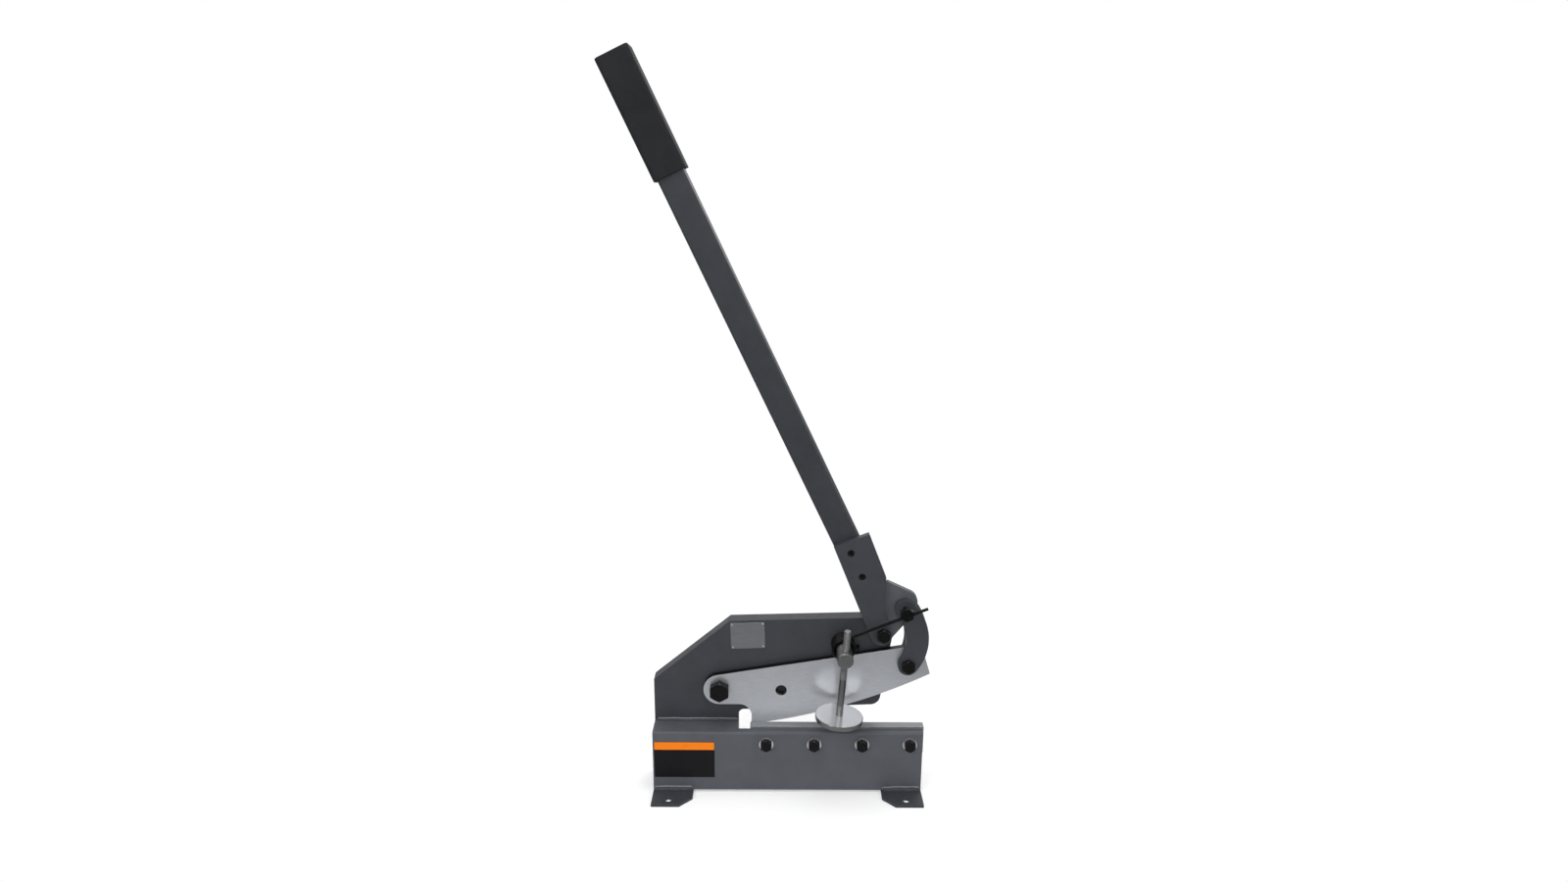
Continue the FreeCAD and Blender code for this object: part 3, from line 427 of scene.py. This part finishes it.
def bead_section(leg, wide, high, ripple):
    """Points of a bead's section: up the wall, over the toe with its painted highlight and down the bulged
    front.
    """
    points = [(-BEAD_SUNK, -BEAD_SUNK), (-BEAD_SUNK, high)]
    points += [(out, high - drop) for out, drop in TOE]
    toe_out, toe_drop = TOE[-1]
    for part in (0.3, 0.5, 0.7, 0.88):
        bulge = leg * (0.07 + 0.05 * ripple) * math.sin(math.pi * part)
        points.append((toe_out + (wide - toe_out) * part + bulge, (high - toe_drop) * (1 - part) + bulge))
    points.append((wide, -BEAD_SUNK))
    return points


def weld_bead(name, start, end, out, up, leg, seed, arch=0.0):
    """Fillet weld in the corner of two plates, with hand-run ripples and a painted highlight along its upper
    toe.
    """
    start, end = Vector(start), Vector(end)
    length = (end - start).length
    axis = (end - start).normalized()
    steps = max(8, int(length / BEAD_STEP))
    rings = []
    for step in range(steps + 1):
        at = length * step / steps
        share = step / steps
        lump = noise.noise(Vector((at * LUMP_RATE, seed, 0.3)))
        drift = noise.noise(Vector((at * DRIFT_RATE, seed + 9.0, 0.7)))
        phase = (at / BEAD_RIPPLE + 0.35 * lump) % 1.0
        ripple = math.sqrt(max(0.0, 1 - (2 * phase - 1) ** 2))
        nearest_end = min(at, length - at)
        taper = min(1.0, BEAD_START_SHARE + nearest_end / BEAD_RUN_IN)
        wide = leg * taper * (0.9 + 0.2 * lump)
        high = leg * taper * (1 + arch * 4 * share * (1 - share) + 0.16 * drift + 0.05 * ripple)
        section = bead_section(leg, wide, high, ripple)
        rings.append([start + axis * at + out * x + up * z for x, z in section])
    bead = piece(name, skin(rings), "frame", [machine_paint, weld_highlight_paint])
    faces_round = len(rings[0])
    # the toe faces get the painted highlight
    for number in range(steps * faces_round):
        if number % faces_round in PAINTED_HIGHLIGHT_FACES:
            bead.data.polygons[number].material_index = 1


def make_welds():
    base_low, base_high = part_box("base_angle")
    plate_low, plate_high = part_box("frame_plate")
    left_low, left_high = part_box("left_foot")
    right_low, right_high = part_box("right_foot")
    blade_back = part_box("lower_blade")[0].y
    foot_top = left_high.z
    inset = 1.5 * MM
    for number, (low, high) in enumerate(((left_low, left_high), (right_low, right_high))):
        side = ("left", "right")[number]
        start, end = low.x + inset, high.x - inset
        weld_bead("weld_%s_foot_front" % side, (start, base_low.y, foot_top), (end, base_low.y, foot_top),
                  FORWARD, UPWARD, leg=6.2 * MM, seed=1.0 + number, arch=0.16)
        weld_bead("weld_%s_foot_inside" % side, (start, blade_back, foot_top), (end, blade_back, foot_top),
                  BACKWARD, UPWARD, leg=4.6 * MM, seed=5.0 + number)
    start, end = left_low.x + inset, left_high.x - inset
    weld_bead("weld_leg_foot_front", (start, plate_low.y, foot_top), (end, plate_low.y, foot_top),
              FORWARD, UPWARD, leg=5.0 * MM, seed=11.0)
    weld_bead("weld_leg_foot_back", (start, plate_high.y, foot_top), (end, plate_high.y, foot_top),
              BACKWARD, UPWARD, leg=6.0 * MM, seed=12.0, arch=0.1)
    flange_length, flange_thick, flange_end = 148 * MM, 12 * MM, 5 * MM
    start, end = base_low.x + inset, base_low.x + flange_length - inset
    flange_top, flange_under = base_high.z, base_high.z - flange_thick
    weld_bead("weld_flange_top", (base_low.x + flange_end, plate_low.y, flange_top),
              (end, plate_low.y, flange_top), FORWARD, UPWARD, leg=4.4 * MM, seed=15.0)
    weld_bead("weld_flange_under", (start, plate_low.y, flange_under),
              (end, plate_low.y, flange_under), FORWARD, DOWNWARD, leg=4.6 * MM, seed=16.0)


# Thin cards on the front: a bare nameplate with rivets, and a plain two-tone panel
def rounded_card(corner, right, down, width, height, thick, radius):
    """Rings of a thin rounded card with a softened front edge, standing out to the user."""
    steps, least_bend = 5, 0.2 * MM
    soft = thick * 0.4

    def ring(inward, lift):
        points = []
        bend = max(radius - inward, least_bend)
        for cx, cy, first in ((width - radius, radius, -90), (width - radius, height - radius, 0),
                              (radius, height - radius, 90), (radius, radius, 180)):
            for step in range(steps + 1):
                angle = math.radians(first + 90 * step / steps)
                x = cx + bend * math.cos(angle)
                y = cy + bend * math.sin(angle)
                points.append(corner + right * x + down * y + FORWARD * lift)
        return points

    return [ring(0, 0), ring(0, thick - soft), ring(soft * 0.5, thick - soft * 0.2), ring(soft * 1.5, thick)]


def make_nameplate():
    tilt = math.radians(2.0)
    right = Vector((math.cos(tilt), 0, math.sin(tilt)))
    down = Vector((math.sin(tilt), 0, -math.cos(tilt)))
    corner = Vector((-100.8 * MM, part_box("frame_plate")[0].y, 302.8 * MM))
    width, height, thick = 59.3 * MM, 48 * MM, 0.8 * MM
    rings = rounded_card(corner, right, down, width, height, thick, 2.0 * MM)
    piece("nameplate", skin(rings), "frame", [plate_steel], smooth=False)
    rivet_radius, rivet_rise, rivet_foot = 1.7 * MM, 1.0 * MM, 0.75 * MM
    inset = 3.2 * MM
    places = ((inset, inset), (width - inset, inset), (width - inset, height - inset),
              (inset, height - inset))
    for number, (x, y) in enumerate(places, start=1):
        foot = corner + right * x + down * y + FORWARD * rivet_foot
        rings = []
        for degrees in (88, 72, 56, 40, 24, 4):
            lean = math.radians(degrees)
            centre = foot + FORWARD * rivet_rise * math.cos(lean)
            rings.append(circle(centre, right, down, rivet_radius * math.sin(lean), sides=20))
        piece("nameplate_rivet_%d" % number, skin(rings), "frame", [zinc])


def make_panel():
    corner = Vector((-232.6 * MM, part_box("base_angle")[0].y, 98.2 * MM))
    width, height, thick = 105.3 * MM, 68.9 * MM, 0.25 * MM
    card = rounded_card(corner, RIGHT, DOWNWARD, width, height, thick, 1.2 * MM)
    piece("panel_black", skin(card), "frame", [black_vinyl], smooth=False)
    border, band = 0.5 * MM, 14.6 * MM
    corner = corner + FORWARD * thick + (RIGHT + DOWNWARD) * border
    card = rounded_card(corner, RIGHT, DOWNWARD, width - 2 * border, band, 0.12 * MM, 0.9 * MM)
    piece("panel_orange", skin(card), "frame", [orange_vinyl], smooth=False)


# Thread inside the port of the upper blade
def make_port_thread():
    port = Vector((-11.9 * MM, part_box("upper_blade")[0].y, 181.7 * MM))
    bore, root, crest = 8.48 * MM, 8.2 * MM, 7.5 * MM
    pitch, turns, lead_in, sides = 1.5 * MM, 5, 1.7 * MM, 40
    crest_start, crest_end, next_root = pitch * 0.42, pitch * 0.55, pitch * 0.95
    # radius and depth: up the wall of the bore, over the chamfer to its rim, then down the thread
    profile = [(bore, 9.4 * MM), (bore, 1.66 * MM), (9.9 * MM, 0.2 * MM), (9.7 * MM, 0.1 * MM)]
    for turn in range(turns):
        at = lead_in + pitch * turn
        profile += [(root, at), (crest, at + crest_start), (crest, at + crest_end), (root, at + next_root)]
    rings = [circle(port + BACKWARD * depth, RIGHT, DOWNWARD, radius, sides) for radius, depth in profile]
    piece("port_thread", closed_skin(rings), "blade", [oxide])


# Hex socket faces in the two handle screws
def make_screw_socket(number):
    low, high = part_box("handle_screw_%d" % number)
    centre = Vector(((low.x + high.x) / 2, low.y, (low.z + high.z) / 2))
    rim_radius, half_flats, rise, sides = 5.7 * MM, 2.9 * MM, 1.6 * MM, 36
    rim_bevel, socket_bevel = 0.93, 1.08
    sixth = math.pi / 3
    outer, inner = [], []
    for i in range(sides):
        angle = math.tau * i / sides
        spoke = Vector((math.cos(angle), 0, math.sin(angle)))
        outer.append(spoke * rim_radius)
        inner.append(spoke * half_flats / math.cos((angle + LEVER_LEAN) % sixth - sixth / 2))
    face = FORWARD * rise
    shoulder = face * 0.8
    rings = [[centre + point for point in outer],
             [centre + point + shoulder for point in outer],
             [centre + point * rim_bevel + face for point in outer],
             [centre + point * socket_bevel + face for point in inner],
             [centre + point + shoulder for point in inner],
             [centre + point for point in inner]]
    socket = piece("screw_socket_%d" % number, closed_skin(rings), "lever", [oxide], smooth=False)


make_welds()
make_nameplate()
make_panel()
make_port_thread()
make_screw_socket(1)
make_screw_socket(2)


# Floor, backdrop and light
def clear_rays(tree, rays):
    """1 for what is seen directly or through glass."""
    return math_node(tree, "MAXIMUM", rays.outputs["Is Camera Ray"], rays.outputs["Is Transmission Ray"])


def pale_floor():
    """White floor that keeps the shadow of the machine, and fades into the backdrop.

    Seen in the metal, it is dim on the user's side and beside the machine, and white behind it.
    """
    material, tree, shader = new_material("pale_floor")
    mottle = fit(tree, grain(tree, 3.0, 3.0), 0.3, 0.7)
    rays = add(tree, "LightPath")
    seen = clear_rays(tree, rays)
    feed(tree, shader, {
        "Base Color": mix(tree, mottle, colour(0.86, 0.86, 0.865), colour(0.88, 0.88, 0.88)),
        "Roughness": 0.9,
        "Emission Color": WHITE,
        "Emission Strength": times(tree, seen, 0.3)})
    relief(tree, shader, [(grain(tree, 200.0, 2.0), 0.02, 1 * MM)])
    fade_start, fade_end = 0.45, 1.1
    coords = add(tree, "TexCoord").outputs["Object"]
    away = add(tree, "VectorMath", {0: coords}, operation="LENGTH").outputs["Value"]
    far = times(tree, fit(tree, away, fade_start, fade_end), seen)
    white = add(tree, "Emission", {"Color": WHITE, "Strength": 1.0}).outputs["Emission"]
    faded = add(tree, "MixShader", {0: far, 1: shader.outputs["BSDF"], 2: white}).outputs["Shader"]
    place = add(tree, "SeparateXYZ", {0: coords})
    behind = fit(tree, place.outputs["Y"], -1.0, 0.6, 0.16, 1.0)
    beside = math_node(tree, "ABSOLUTE", place.outputs["X"])
    room = times(tree, behind, fit(tree, beside, 0.28, 0.4, 1.0, 0.12))
    mirrored = add(tree, "Emission", {"Color": WHITE, "Strength": room}).outputs["Emission"]
    surface = add(tree, "MixShader", {0: rays.outputs["Is Glossy Ray"], 1: faded, 2: mirrored})
    out = [item for item in tree.nodes if item.type == "OUTPUT_MATERIAL"][0]
    tree.links.new(surface.outputs["Shader"], out.inputs["Surface"])
    return material


def make_floor():
    half_width = 30
    mesh = bmesh.new()
    bmesh.ops.create_grid(mesh, x_segments=2, y_segments=2, size=half_width)
    data = bpy.data.meshes.new("floor")
    mesh.to_mesh(data)
    mesh.free()
    data.materials.append(pale_floor())
    floor = bpy.data.objects.new("floor", data)
    bpy.context.scene.collection.objects.link(floor)


def make_backdrop():
    """White backdrop over an even ambient light; in the metal, the room is dim behind the user."""
    ambient = 0.42
    world = bpy.data.worlds.new("studio")
    bpy.context.scene.world = world
    world.use_nodes = True
    sky = world.node_tree
    sky.nodes.clear()
    rays = add(sky, "LightPath")
    heading = add(sky, "SeparateXYZ", {0: add(sky, "TexCoord").outputs["Generated"]})
    room = fit(sky, heading.outputs["Y"], -0.5, 0.5, 0.2, 1.0)
    change = times(sky, rays.outputs["Is Glossy Ray"], math_node(sky, "SUBTRACT", room, ambient))
    lit = math_node(sky, "ADD", change, ambient)
    strength = math_node(sky, "MAXIMUM", clear_rays(sky, rays), lit)
    backdrop = add(sky, "Background", {"Color": WHITE, "Strength": strength})
    out = sky.nodes.new("ShaderNodeOutputWorld")
    sky.links.new(backdrop.outputs["Background"], out.inputs["Surface"])


def soft_box(name, place, target, width, height, power):
    """Rectangular area lamp that faces a target."""
    lamp = bpy.data.lights.new(name, "AREA")
    lamp.shape = "RECTANGLE"
    lamp.size = width
    lamp.size_y = height
    lamp.energy = power
    thing = bpy.data.objects.new(name, lamp)
    thing.location = place
    thing.rotation_euler = (Vector(target) - Vector(place)).to_track_quat("-Z", "Y").to_euler()
    bpy.context.scene.collection.objects.link(thing)


make_floor()
make_backdrop()
soft_box("overhead", (0, -0.3, 3.2), (0, 0, 0.2), 3.0, 2.2, power=36)
soft_box("front_top", (0.08, -2.6, 1.85), (0, 0, 0.2), 0.8, 0.5, power=15)
soft_box("key_left", (-2.2, -2.4, 2.5), (0, 0, 0.7), 1.6, 1.6, power=29)
soft_box("fill_right", (2.6, -2.2, 1.3), (0, 0, 0.35), 1.6, 1.6, power=14)
soft_box("back_soft", (1.8, 2.4, 2.6), (0, 0, 0.4), 1.8, 1.4, power=22)

# Camera at the user's side, above the blades and tilted down
CAMERA_PLACE = (-0.01970, -1.56241, 1.03232)
LENS, SENSOR_WIDTH = 22.621, 36.0
YAW, PITCH, ROLL = -0.0062, 0.2516, -0.0074
camera_data = bpy.data.cameras.new("photo_camera")
camera_data.lens = LENS
camera_data.sensor_width = SENSOR_WIDTH
camera_data.clip_start = 0.05
camera_data.clip_end = 100
camera = bpy.data.objects.new("photo_camera", camera_data)
turn = (Matrix.Rotation(YAW, 4, "Z") @ Matrix.Rotation(math.pi / 2 - PITCH, 4, "X")
        @ Matrix.Rotation(-ROLL, 4, "Z"))
camera.matrix_world = Matrix.Translation(CAMERA_PLACE) @ turn
bpy.context.scene.collection.objects.link(camera)
bpy.context.scene.camera = camera

bpy.context.scene.view_settings.view_transform = "Standard"
